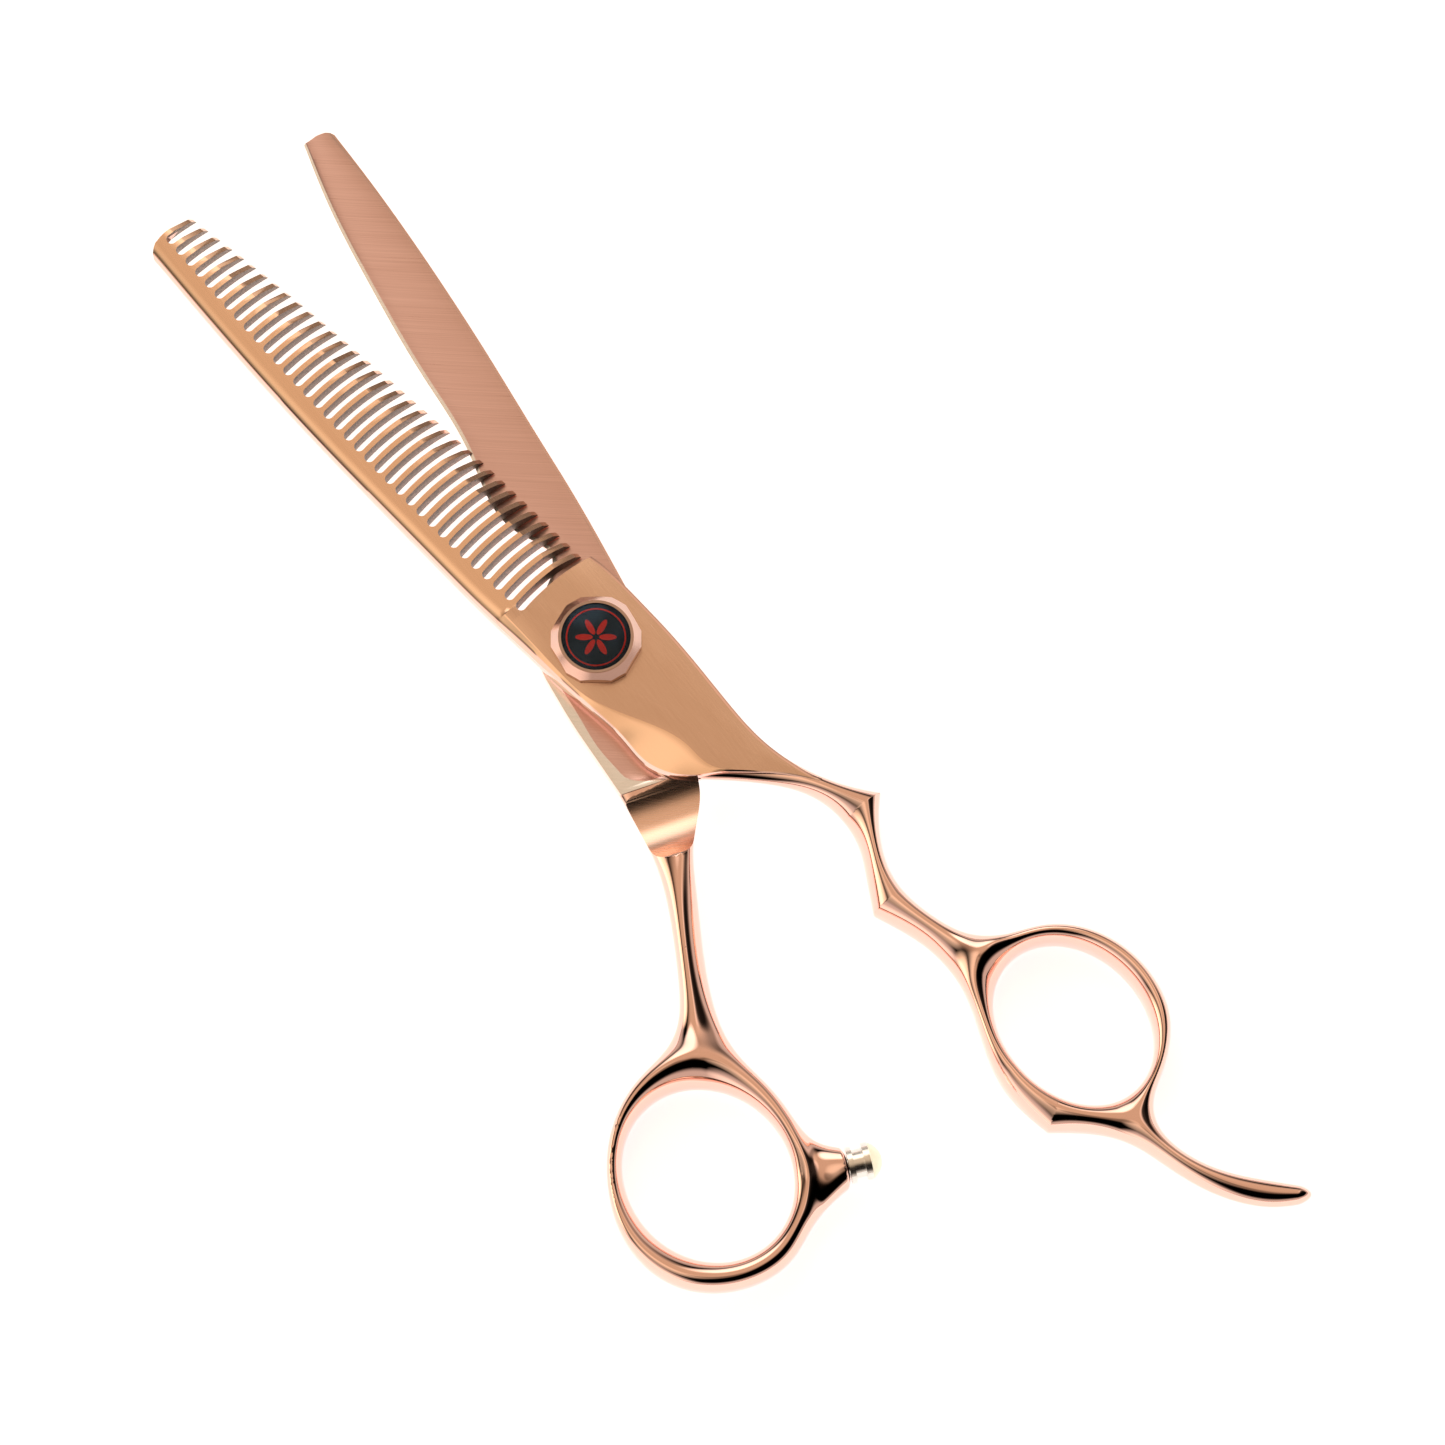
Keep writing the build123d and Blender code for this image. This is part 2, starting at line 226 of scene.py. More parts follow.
def cut(piece, cutter):
    """Take a cutter out of a piece, keeping the cutter's material on the walls."""
    tool = piece.modifiers.new("cut", "BOOLEAN")
    tool.operation = "DIFFERENCE"
    tool.solver = "EXACT"
    tool.material_mode = "TRANSFER"
    tool.object = cutter
    apply_modifiers(piece)
    mesh = cutter.data
    bpy.data.objects.remove(cutter)
    bpy.data.meshes.remove(mesh)


# ---------------------------------------------------------------- forged handles


class Rim:
    """One boundary line of a forging seen from above; the metal lies on its left or right."""

    def __init__(self, spans, metal_left, closed=False):
        side = 1.0 if metal_left else -1.0
        points, normals = [], []
        for span in spans:
            along = np.gradient(span, axis=0)
            if closed:
                along = np.roll(span, -1, axis=0) - np.roll(span, 1, axis=0)
            along /= np.linalg.norm(along, axis=1)[:, None]
            inward = side * np.column_stack([-along[:, 1], along[:, 0]])
            if points:
                corner = normals[-1][-1] + inward[0]
                normals[-1][-1] = corner / np.linalg.norm(corner)
                span, inward = span[1:], inward[1:]
            points.append(span)
            normals.append(inward)
        self.points = np.vstack(points)
        self.normals = np.vstack(normals)
        self.closed = closed

    def measure(self, places):
        """Distance into the metal and the direction in which it grows."""
        last = len(self.points) - 1
        coarse = self.points[::RIM_STRIDE]
        depth = np.empty(len(places))
        grow = np.empty((len(places), 2))
        window = np.arange(-RIM_STRIDE, RIM_STRIDE + 1)
        batch = 8000
        for low in range(0, len(places), batch):
            part = places[low:low + batch]
            near = ((part[:, None] - coarse[None]) ** 2).sum(2).argmin(1) * RIM_STRIDE
            span = near[:, None] + window
            span = span % (last + 1) if self.closed else np.clip(span, 0, last)
            gap = part[:, None] - self.points[span]
            pick = (gap**2).sum(2).argmin(1)
            rows = np.arange(len(part))
            j, gap = span[rows, pick], gap[rows, pick]
            normal = self.normals[j]
            side = gap[:, 0] * normal[:, 1] - gap[:, 1] * normal[:, 0]
            step = np.where(side > 0, 1, -1)
            tangent_at = np.column_stack([normal[:, 1], -normal[:, 0]])
            ahead = self.points[np.clip(j + 1, 0, last)] - self.points[np.clip(j - 1, 0, last)]
            step = np.where((ahead * tangent_at).sum(1) >= 0, step, -step)
            other = (j + step) % (last + 1) if self.closed else np.clip(j + step, 0, last)
            share = np.clip(np.abs(side) / RIM_STEP, 0, 0.5)[:, None]
            normal = normal * (1 - share) + self.normals[other] * share
            normal /= np.linalg.norm(normal, axis=1)[:, None]
            depth[low:low + batch] = (gap * normal).sum(1)
            grow[low:low + batch] = normal
        return depth, grow


class Forging:
    """A rounded bar or web between its rims, whose height changes along y.

    The first two rims are the bar's sides and the third is the hole of its ring. The section
    may lean, so that its ridge lies nearer to one side: ring_lean gives the lean round the
    hole by direction in degrees, bar_lean gives it along y. Near the boss the section spans
    the whole width, as if the hole weren't there. The levels are rows of y, middle height,
    half height and how square the section is. A cap rounds an end off: a point, the direction
    into the metal and a radius.
    """

    TIE = 1.5                # a third rim this near to the second one shares its place
    BOSS_REACH = 3.0, 7.0    # the hole is hidden within the first distance, free past the second
    BOSS_FADE = 0.9, 3.4     # depths between which it fades
    BOSS_DEPTH = 5.0         # how much deeper the hole's rim counts there
    RIDGE = 1.3, 1.9         # the ring's ridge, from the hole, and how far its lean reaches
    BAR_REACH = 1.5          # half width over which a bar leans

    def __init__(self, rims, levels, caps, centre, ring_lean, bar_lean, boss=None):
        self.rims, self.caps, self.centre, self.boss = rims, caps, centre, boss
        ys = [row[0] for row in levels]
        self.middle, self.half, self.square = (
            track([(y, row[k]) for y, row in zip(ys, levels)], blur=1.0) for k in (1, 2, 3))
        self.ring_lean, self.bar_lean = ring_lean, track(bar_lean)

    def plan(self, places):
        """Squared share of the half width, its slope, the lean's height and its slope."""
        found = [rim.measure(places) for rim in self.rims]
        depth = np.array([d for d, _ in found])
        grow = np.array([g for _, g in found])
        lean, lean_slope = self.lean(places, depth, grow)
        if self.boss:
            depth[2], grow[2] = self.hide_hole(places, depth[2], grow[2])
        square, slope = self.across(depth, grow)
        for (x, y), direction, radius in self.caps:
            inward = np.array(direction) / np.hypot(*direction)
            into = (places - np.array([x, y])) @ inward
            lack = np.clip(1 - into / radius, 0, None)
            square = square + lack**2
            slope = slope - (2 * lack / radius)[:, None] * inward
        return square, slope, lean, lean_slope

    def hide_hole(self, places, depth, grow):
        """The hole's rim seen deeper near the boss."""
        near = 1 - ease(np.hypot(*(places - np.array(self.boss)).T), *self.BOSS_REACH)
        step = 0.01
        rate = (ease(depth + step, *self.BOSS_FADE) - ease(depth - step, *self.BOSS_FADE)) / (2 * step)
        grow = grow * (1 + self.BOSS_DEPTH * near * rate)[:, None]
        return depth + self.BOSS_DEPTH * near * ease(depth, *self.BOSS_FADE), grow

    def across(self, depth, grow):
        """Squared share of the half width between the two nearest rims, and its slope."""
        rows = np.arange(depth.shape[1])
        first, second, third = np.abs(depth).argsort(axis=0)
        d1, g1 = depth[first, rows], grow[first, rows]
        d2, g2 = depth[second, rows], grow[second, rows]
        d3, g3 = depth[third, rows], grow[third, rows]
        sign = np.where(d2 < 0, -1.0, 1.0)
        a, b = np.abs(d1), np.abs(d2)
        tie = np.clip(1 - (np.abs(d3) - b) / self.TIE, 0, 1)
        b = np.maximum(b - self.TIE * tie**2 / 4, 0.3 * b)
        g2 = g2 * (1 - tie / 2)[:, None] + g3 * (tie / 2)[:, None]
        total = np.maximum(a + b, 1e-6)
        slope1 = -4 * b * (b - a) / total**3
        slope2 = -4 * d1 * (a - b) / total**3 * sign
        return 1 - 4 * d1 * b / total**2, slope1[:, None] * g1 + slope2[:, None] * g2

    def lean(self, places, depth, grow):
        """How much higher the section stands for its lean, and the slope of that."""
        turn = np.degrees(np.arctan2(*(places - np.array(self.centre)).T[::-1])) % 360
        amount = np.interp(turn, *zip(*self.ring_lean), period=360)
        ridge, reach = self.RIDGE
        wave, steep = soft_wave(depth[2] - ridge, reach)
        rise, slope = amount * wave, (amount * steep)[:, None] * grow[2]
        amount = self.bar_lean(places[:, 1])
        limit, steep = soft_limit((depth[1] - depth[0]) / 2, self.BAR_REACH)
        return rise + amount * limit, slope + (amount * steep / 2)[:, None] * (grow[1] - grow[0])

    def height_part(self, y, z):
        """The height's share of the section and its slope along y and z."""
        middle, half, power = self.middle(y), self.half(y), self.square(y)
        share = (z - middle) / half
        size = np.maximum(np.abs(share), 1e-6)
        step = 0.05
        middle_slope = (self.middle(y + step) - self.middle(y - step)) / (2 * step)
        half_slope = (self.half(y + step) - self.half(y - step)) / (2 * step)
        steep = power * size ** (power - 1) * np.sign(share) / half
        return size**power, -steep * (middle_slope + share * half_slope), steep

    def field(self, points):
        """Section value and its slope at points in space."""
        square, slope, lean, lean_slope = self.plan(points[:, :2])
        tall, slope_y, slope_z = self.height_part(points[:, 1], points[:, 2] - lean)
        slope = np.column_stack([slope - slope_z[:, None] * lean_slope, slope_z])
        slope[:, 1] += slope_y
        return square + tall - 1, slope

    def mesh(self, name, low, high):
        """Polygonise the forging inside a box, and give the slope at its points."""
        axes = [np.arange(low[k], high[k] + GRID, GRID) for k in range(3)]
        gx, gy = np.meshgrid(axes[0], axes[1], indexing="ij")
        square, _, lean, _ = self.plan(np.column_stack([gx.ravel(), gy.ravel()]))
        square, lean = (part.reshape(gx.shape)[:, :, None] for part in (square, lean))
        tall, _, _ = self.height_part(axes[1][None, :, None], axes[2][None, None, :] - lean)
        points, faces = surface_net(np.clip(square + tall - 1, -3, 3), np.array(low, float), GRID)
        rounds, reach = 6, 0.12
        for _ in range(rounds):
            value, slope = self.field(points)
            size = np.maximum((slope**2).sum(1), 0.05)
            move = -(value / size)[:, None] * slope
            length = np.linalg.norm(move, axis=1)[:, None]
            points = points + move * np.minimum(1, reach / np.maximum(length, 1e-9))
        _, slope = self.field(points)
        return build_mesh(name, points, faces), slope


def soft_limit(value, limit):
    """A value that levels off at plus and minus the limit, and its slope."""
    share = np.tanh(value / limit)
    return limit * share, 1 - share**2


def soft_wave(value, width):
    """A value that fades away beyond the width on both sides, and its slope."""
    fade = np.exp(-0.5 * (value / width) ** 2)
    return value * fade, (1 - (value / width) ** 2) * fade


def surface_net(field, low, step):
    """Quads round the zero level of a field on an even grid."""
    inside = field < 0
    cells = tuple(n - 1 for n in field.shape)
    total = np.zeros(cells + (3,))
    hits = np.zeros(cells, int)
    crossings = []
    for axis in range(3):
        near = [slice(None)] * 3
        far = [slice(None)] * 3
        near[axis], far[axis] = slice(0, -1), slice(1, None)
        a, b = field[tuple(near)], field[tuple(far)]
        at = np.argwhere(inside[tuple(near)] != inside[tuple(far)])
        fa, fb = a[tuple(at.T)], b[tuple(at.T)]
        place = at.astype(float)
        place[:, axis] += fa / (fa - fb)
        u, v = (axis + 1) % 3, (axis + 2) % 3
        for du in (-1, 0):
            for dv in (-1, 0):
                cell = at.copy()
                cell[:, u] += du
                cell[:, v] += dv
                good = (cell >= 0).all(1) & (cell < np.array(cells)).all(1)
                np.add.at(total, tuple(cell[good].T), place[good])
                np.add.at(hits, tuple(cell[good].T), 1)
        crossings.append((axis, at, fa < 0))
    index = np.full(cells, -1)
    used = hits > 0
    index[used] = np.arange(used.sum())
    points = total[used] / hits[used][:, None] * step + low
    faces = []
    for axis, at, outward in crossings:
        u, v = (axis + 1) % 3, (axis + 2) % 3
        corners = []
        for du, dv in ((-1, -1), (0, -1), (0, 0), (-1, 0)):
            cell = at.copy()
            cell[:, u] += du
            cell[:, v] += dv
            good = (cell >= 0).all(1) & (cell < np.array(cells)).all(1)
            safe = np.clip(cell, 0, np.array(cells) - 1)
            corners.append(np.where(good, index[tuple(safe.T)], -1))
        quads = np.column_stack(corners)
        quads[~outward] = quads[~outward][:, ::-1]
        faces.append(quads[(quads >= 0).all(1)])
    return points, np.vstack(faces)


def ellipse_rim(cx, cy, half_x, half_y, turn=0.0):
    """The hole of a ring as a closed rim with the metal outside."""
    count = int(2 * math.pi * max(half_x, half_y) / RIM_STEP) // RIM_STRIDE * RIM_STRIDE
    t = np.arange(count) * 2 * math.pi / count
    c, s = math.cos(math.radians(turn)), math.sin(math.radians(turn))
    x, y = half_x * np.cos(t), half_y * np.sin(t)
    line = np.column_stack([cx + c * x - s * y, cy + s * x + c * y])
    return Rim([line], metal_left=False, closed=True)


def set_normals(mesh, slope):
    """Shade a mesh with the exact normals of its surface."""
    normals = slope / np.maximum(np.linalg.norm(slope, axis=1)[:, None], 1e-9)
    mesh.normals_split_custom_set_from_vertices([tuple(n) for n in normals])


def finger_handle(material):
    """Finger shank, ring and rest: one forging."""
    right = [
        smooth_line([(7.0, -16.5), (7.7, -20.0), (8.6, -23.5), (10.2, -27.3), (12.3, -30.6), (14.75, -33.4)]),
        smooth_line([(14.75, -33.4), (13.0, -35.3), (11.2, -38.0), (10.0, -41.0), (9.75, -43.5),
                     (10.5, -47.8), (12.2, -51.9), (15.0, -54.6), (18.6, -56.0), (21.6, -57.9),
                     (24.2, -61.2), (25.6, -65.2), (25.7, -69.5), (24.6, -73.2), (22.2, -76.1),
                     (19.4, -78.1), (16.9, -79.6), (15.5, -81.9), (15.5, -84.9), (16.7, -88.4),
                     (18.7, -91.6), (21.4, -94.7), (23.8, -97.3)]),
    ]
    left = [
        smooth_line([(-1.6, -18.6), (0.6, -20.5), (2.8, -22.4), (5.4, -24.9), (7.9, -27.8), (9.3, -30.7),
                     (9.7, -33.6), (9.2, -36.6), (7.8, -39.5), (5.6, -43.7)], blur=1.0),
        smooth_line([(5.6, -43.7), (7.0, -46.9), (8.1, -50.3), (8.4, -53.8), (7.8, -57.8), (6.3, -62.0),
                     (5.0, -65.8), (4.6, -70.0), (5.5, -75.2)]),
        smooth_line([(5.5, -75.2), (8.3, -77.4), (10.7, -79.9), (12.4, -82.9), (13.5, -86.4), (15.0, -90.6),
                     (17.2, -94.4), (20.2, -97.5), (23.2, -99.2)]),
    ]
    centre = (15.35, -67.45)
    hole = ellipse_rim(*centre, 8.05, 10.1, 2.0)
    levels = [(-18, 4.66, 1.14, 3.0), (-22, 4.66, 1.14, 3.0), (-25, 4.6, 1.18, 3.0), (-28.5, 4.1, 1.85, 2.8),
              (-32, 3.3, 2.5, 2.4), (-37, 2.8, 2.65, 2.3), (-45, RING_MIDDLE, 2.65, 2.3),
              (-54, RING_MIDDLE, RING_MIDDLE, 2.5), (-75, RING_MIDDLE, RING_MIDDLE, 2.7),
              (-80, RING_MIDDLE, 2.5, 2.4), (-88, RING_MIDDLE, 2.0, 2.2), (-95, RING_MIDDLE, 1.6, 2.1),
              (-99, RING_MIDDLE, 1.4, 2.0)]
    caps = [((3.0, -17.2), (0.0, -1.0), 0.4), ((24.1, -98.75), (-0.62, 0.55), 1.6)]
    ring_lean = ((0, 0.4), (60, 0.4), (115, 0.7), (150, 0.1), (180, -0.45), (218, -0.4), (265, 0.1),
                 (320, 0.3))
    bar_lean = ((-100, 0.1), (-90, 0.2), (-83, 0.15), (-78, 0.0), (-60, 0.0), (-53, 0.3), (-45, 0.4),
                (-32, 0.4), (-27, 0.1), (-20, 0.0))
    rims = [Rim(right, metal_left=False), Rim(left, metal_left=True), hole]
    body = Forging(rims, levels, caps, centre, ring_lean, bar_lean)
    mesh, slope = body.mesh("finger_handle", (-3, -100.5, -0.6), (27.5, -16.5, 6.8))
    set_normals(mesh, slope)
    keep_above_floor(mesh)
    piece = add_object("finger_handle", mesh, [material])
    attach(piece, "still_half")
    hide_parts("finger_shank", "finger_ring", "finger_rest")


def thumb_handle(material, scoop_material):
    """Heel, shank, ring and boss of the thumb half: one forging with a ground scoop."""
    outer = [
        smooth_line([(-8.3, -14.0), (-8.7, -17.0), (-9.4, -21.0), (-10.5, -25.0), (-12.4, -29.2),
                     (-15.0, -33.8), (-17.4, -37.6), (-19.7, -40.3), (-22.6, -41.8), (-26.5, -42.4),
                     (-30.4, -43.6), (-34.2, -46.2), (-37.2, -50.0), (-39.1, -54.4), (-39.4, -59.0),
                     (-37.8, -63.6),
                     (-34.4, -67.0), (-30.0, -68.9), (-25.4, -68.9), (-21.6, -67.3), (-18.4, -66.6),
                     (-15.3, -66.5)]),
    ]
    inner = [
        smooth_line([(0.6, -16.0), (-0.4, -19.6), (-2.6, -22.2), (-5.4, -24.8), (-8.0, -28.6), (-10.6, -32.8),
                     (-13.0, -36.8), (-14.9, -40.6), (-16.2, -44.6), (-16.4, -48.4), (-15.9, -52.4),
                     (-16.0, -56.6), (-15.9, -59.8), (-13.7, -62.7)]),
    ]
    centre = (-27.4, -55.7)
    hole = ellipse_rim(*centre, 9.1, 10.3)
    heel_middle, heel_half = (PLAIN_LOW + PLAIN_TOP) / 2, (PLAIN_TOP - PLAIN_LOW) / 2
    levels = [(-14, heel_middle, heel_half, 8.0), (-19, heel_middle, heel_half, 8.0),
              (-21.5, 2.3, 1.8, 5.0), (-24.5, 2.5, 2.2, 3.5), (-28, 2.6, 2.45, 2.6),
              (-32, RING_MIDDLE, 2.55, 2.3), (-38, RING_MIDDLE, 2.6, 2.3),
              (-46, RING_MIDDLE, RING_MIDDLE, 2.6), (-70, RING_MIDDLE, RING_MIDDLE, 2.6)]
    caps = [((-14.45, -64.45), (-0.913, 0.409), 0.6), ((-8.4, -14.6), (-0.32, -0.947), 0.5)]
    ring_lean = ((15, 0.1), (56, 0.6), (100, 0.6), (142, 0.7), (190, 0.5), (232, 0.1), (280, -0.1),
                 (322, -0.35), (345, -0.2))
    bar_lean = ((-70, 0.0), (-47, 0.0), (-41, 0.3), (-30, 0.3), (-27, 0.0), (-14, 0.0))
    rims = [Rim(outer, metal_left=True), Rim(inner, metal_left=False), hole]
    body = Forging(rims, levels, caps, centre, ring_lean, bar_lean, boss=(-15.5, -63.4))
    mesh, slope = body.mesh("thumb_handle", (-41, -71, -0.6), (2, -13.0, 6.6))
    set_normals(mesh, slope)
    piece = add_object("thumb_handle", mesh, [material])
    cut(piece, scoop_cutter(scoop_material))
    sharpen(piece.data, 25)
    keep_above_floor(piece.data)
    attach(piece, "thumb_half")
    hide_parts("thumb_shank", "thumb_ring")


def scoop_cutter(material):
    """A lying cylinder that grinds the scoop across the heel of the thumb handle."""
    radius, length, count = 6.0, 40, 160
    centre = Vector((-5.8, -20.3, 7.95))
    along = Vector((0.947, -0.32, 0.0))
    across = Vector((0.32, 0.947, 0.0))
    turns = [2 * math.pi * k / count for k in range(count)]
    section = [across * radius * math.cos(a) + Vector((0, 0, radius * math.sin(a))) for a in turns]
    rings = [[centre + along * end + point for point in section] for end in (-length / 2, length / 2)]
    return add_object("scoop_cutter", loft_rings("scoop_cutter", rings), [material])


# ---------------------------------------------------------------- materials


def node_material(name):
    """A new material, its node tree and its shader."""
    material = bpy.data.materials.new(name)
    material.use_nodes = True
    tree = material.node_tree
    shader = tree.nodes["Principled BSDF"]
    return material, tree, shader


def object_coords(tree, scale, turn=0.0):
    """Object coordinates turned about Z and stretched."""
    coords = tree.nodes.new("ShaderNodeTexCoord")
    rotate = tree.nodes.new("ShaderNodeMapping")
    rotate.inputs["Rotation"].default_value = (0, 0, math.radians(turn))
    stretch = tree.nodes.new("ShaderNodeMapping")
    stretch.inputs["Scale"].default_value = scale
    tree.links.new(coords.outputs["Object"], rotate.inputs["Vector"])
    tree.links.new(rotate.outputs["Vector"], stretch.inputs["Vector"])
    return stretch.outputs["Vector"]


def noise(tree, vector, scale, detail=3.0):
    """A noise texture's value."""
    node = tree.nodes.new("ShaderNodeTexNoise")
    node.inputs["Scale"].default_value = scale
    node.inputs["Detail"].default_value = detail
    tree.links.new(vector, node.inputs["Vector"])
    return node.outputs["Fac"]


def ramp(tree, value, stops):
    """A colour ramp."""
    node = tree.nodes.new("ShaderNodeValToRGB")
    elements = node.color_ramp.elements
    while len(elements) < len(stops):
        elements.new(0.5)
    for element, (position, colour) in zip(elements, stops):
        element.position = position
        element.color = (*colour, 1.0)
    tree.links.new(value, node.inputs["Fac"])
    return node.outputs["Color"]


def bump(tree, shader, height, strength, distance):
    """Fine relief on a shader."""
    node = tree.nodes.new("ShaderNodeBump")
    node.inputs["Strength"].default_value = strength
    node.inputs["Distance"].default_value = distance
    tree.links.new(height, node.inputs["Height"])
    tree.links.new(node.outputs["Normal"], shader.inputs["Normal"])


def scale_range(tree, value, low, high):
    """A value from 0 to 1 stretched from low to high."""
    node = tree.nodes.new("ShaderNodeMapRange")
    node.inputs["To Min"].default_value = low
    node.inputs["To Max"].default_value = high
    tree.links.new(value, node.inputs["Value"])
    return node.outputs["Result"]


def polished_rose():
    """Mirror-polished rose-gold coating, with faint polishing haze."""
    material, tree, shader = node_material("rose_gold_polished")
    shader.inputs["Metallic"].default_value = 1.0
    vector = object_coords(tree, (1, 1, 1))
    stops = [(0.3, (0.935, 0.635, 0.55)), (0.7, (0.95, 0.655, 0.57))]
    tree.links.new(ramp(tree, noise(tree, vector, 90.0), stops), shader.inputs["Base Color"])
    haze = scale_range(tree, noise(tree, vector, 400.0, 5.0), 0.045, 0.085)
    tree.links.new(haze, shader.inputs["Roughness"])
    return material


def brushed(name, light, dark, stretch, roughness, strength, turn=0.0):
    """Ground metal with fine scratches along one direction."""
    material, tree, shader = node_material(name)
    shader.inputs["Metallic"].default_value = 1.0
    vector = object_coords(tree, stretch, turn)
    grain = noise(tree, vector, 1.0, 6.0)
    tree.links.new(ramp(tree, grain, [(0.25, dark), (0.75, light)]), shader.inputs["Base Color"])
    spread = scale_range(tree, grain, roughness - 0.06, roughness + 0.06)
    tree.links.new(spread, shader.inputs["Roughness"])
    bump(tree, shader, grain, strength, 0.00002)
    return material


def simple(name, colour, roughness, metallic, grain=600.0, amount=0.15, extra=()):
    """A plain finish with a fine uneven surface; extra sets more of the shader's sockets."""
    material, tree, shader = node_material(name)
    shader.inputs["Metallic"].default_value = metallic
    vector = object_coords(tree, (1, 1, 1))
    value = noise(tree, vector, grain, 4.0)
    dark = tuple(c * (1 - amount) for c in colour)
    tree.links.new(ramp(tree, value, [(0.3, dark), (0.7, colour)]), shader.inputs["Base Color"])
    shader.inputs["Roughness"].default_value = roughness
    for socket, value_set in extra:
        shader.inputs[socket].default_value = value_set
    bump(tree, shader, value, 0.1, 0.00001)
    return material


def clear_dome():
    """Clear glossy cover: see-through, with a mirror-like skin."""
    material, tree, shader = node_material("clear_dome")
    tree.nodes.remove(shader)
    gloss = tree.nodes.new("ShaderNodeBsdfGlossy")
    gloss.inputs["Color"].default_value = (0.35, 0.6, 0.9, 1.0)
    gloss.inputs["Roughness"].default_value = 0.02
    clear = tree.nodes.new("ShaderNodeBsdfTransparent")
    skin = tree.nodes.new("ShaderNodeFresnel")
    skin.inputs["IOR"].default_value = 1.35
    mix = tree.nodes.new("ShaderNodeMixShader")
    tree.links.new(skin.outputs["Fac"], mix.inputs["Fac"])
    tree.links.new(clear.outputs["BSDF"], mix.inputs[1])
    tree.links.new(gloss.outputs["BSDF"], mix.inputs[2])
    tree.links.new(mix.outputs["Shader"], tree.nodes["Material Output"].inputs["Surface"])
    return material


# ---------------------------------------------------------------- comb blade

PLATE_END = 9.0          # the comb's teeth begin past this y
COMB_TIP = 69.9          # last section of the comb, before its end is bent to the tip's outline
TIP_TAPER = 0.85         # the comb is this much thinner at its tip
PLATE_DIP = 0.22         # the plate dips this much where it meets the handle, and towards the teeth
BEVEL_SLOPE = 0.19       # fall of the bevel beside the plate's crease

tip_line = track([(9.0, 5.25), (25.7, 3.2), (38, 1.2), (50.3, -1.0), (62.5, -3.6), (69.9, -5.35)])
facet_line = track([(9.0, 1.55), (15.5, 1.08), (24.4, -0.05), (36, -1.7), (49, -3.9), (59.4, -6.1),
                    (70, -8.45)])
front_tip_line = track([(9.0, 4.5), (24.4, 2.5), (38, 0.4), (52.4, -1.86), (62.7, -4.16), (70, -5.95)])
root_line = track([(8.6, -4.73), (17.3, -5.97), (24.3, -6.8), (38, -7.95), (51, -8.8), (61.7, -9.3),
                   (69, -9.6)])
spine_line = track([(-19.75, 0.0), (-18.25, -2.0), (-16.75, -3.0), (-15, -3.9), (-11.2, -4.25), (-7.5, -4.75),
                    (-3, -5.5), (0.5, -6.0), (5, -6.5), (10, -7.35), (16.3, -8.1), (25, -8.95), (37, -10.1),
                    (50, -10.95), (60, -11.35), (69.9, -11.6)], blur=1.0)
comb_out_line = track([(-19.75, -0.3), (-18.25, -2.4), (-16.75, -3.5), (-15, -4.35), (-11.2, -4.65),
                       (-7.5, -5.1), (-3, -5.95), (0.5, -6.5), (5, -7.1), (10, -7.8), (16.3, -8.5),
                       (25, -9.35), (37, -10.45), (50, -11.35), (60, -11.75), (69.9, -12.0)], blur=1.0)
comb_right_line = track([(8.9, 5.15), (7.6, 5.55), (6.2, 5.85), (0.5, 6.5), (-5, 6.9), (-15, 7.0),
                         (-19, 7.15), (-22, 7.6), (-25, 8.45), (-27.3, 9.3), (-28.3, 9.75)], blur=0.4)
crease_line = track([(8.9, -6.2), (0, -5.5), (-4, -4.95), (-10.75, -1.5), (-16, 0.7), (-20.6, 2.1),
                     (-22, 3.7), (-23.5, 5.4), (-25, 7.1), (-27.3, 9.1), (-28.3, 9.75)], blur=0.3)
ledge_line = track([(-15, -4.55), (-16.25, -4.3), (-17.5, -3.6), (-18.75, -1.9), (-20.6, 1.35), (-22, 3.2),
                    (-23.5, 5.0), (-25, 6.75), (-26.4, 8.05), (-27.3, 8.8), (-28.3, 9.5)], blur=0.2)
TIP_OUTLINE = ((-12.0, 68.3), (-11.8, 68.75), (-11.4, 69.2), (-10.8, 69.6), (-9.7, 69.88),
               (-8.8, 69.98), (-7.5, 70.0), (-6.3, 69.92), (-5.3, 69.75))


